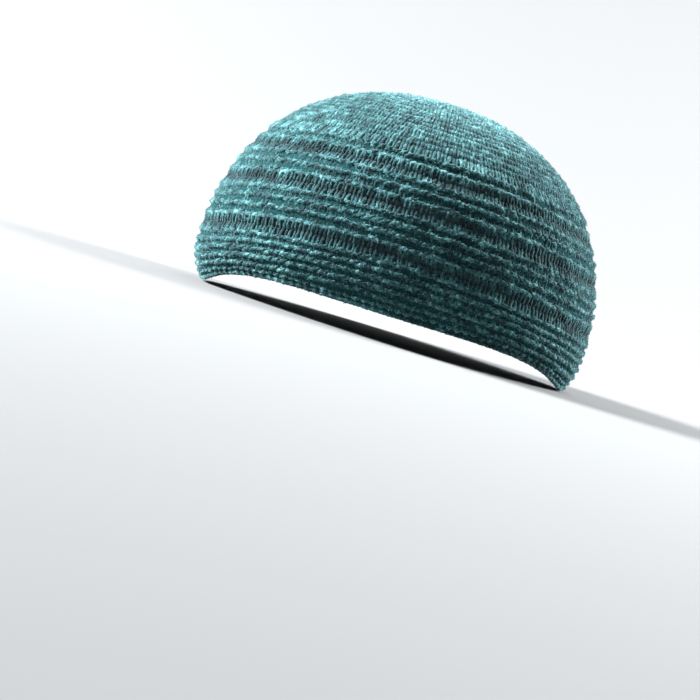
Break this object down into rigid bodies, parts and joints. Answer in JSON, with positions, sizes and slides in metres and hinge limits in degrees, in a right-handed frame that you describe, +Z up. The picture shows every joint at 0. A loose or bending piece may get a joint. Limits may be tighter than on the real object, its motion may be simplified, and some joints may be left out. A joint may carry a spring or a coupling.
{
  "type": "knitted kippah skullcap",
  "caption": "Deep knitted kippah skullcap in teal chenille yarn, with raised purl welts, plain sunken bands and a round gathered crown.",
  "frame": {"origin": "middle of the cap's outline seen from above, on the surface that the rim rests on", "axes": "+Z up to the crown, -Y towards the forehead, +Y towards the nape, +X towards the wearer's left ear"},
  "size_m": [0.1624, 0.2067, 0.1226],
  "materials": {
    "chenille_knit": "soft teal chenille yarn with a velvet pile, heathered light and dark"
  },
  "bodies": {
    "root": {"knit_cap": "chenille_knit"}
  },
  "joints": []
}
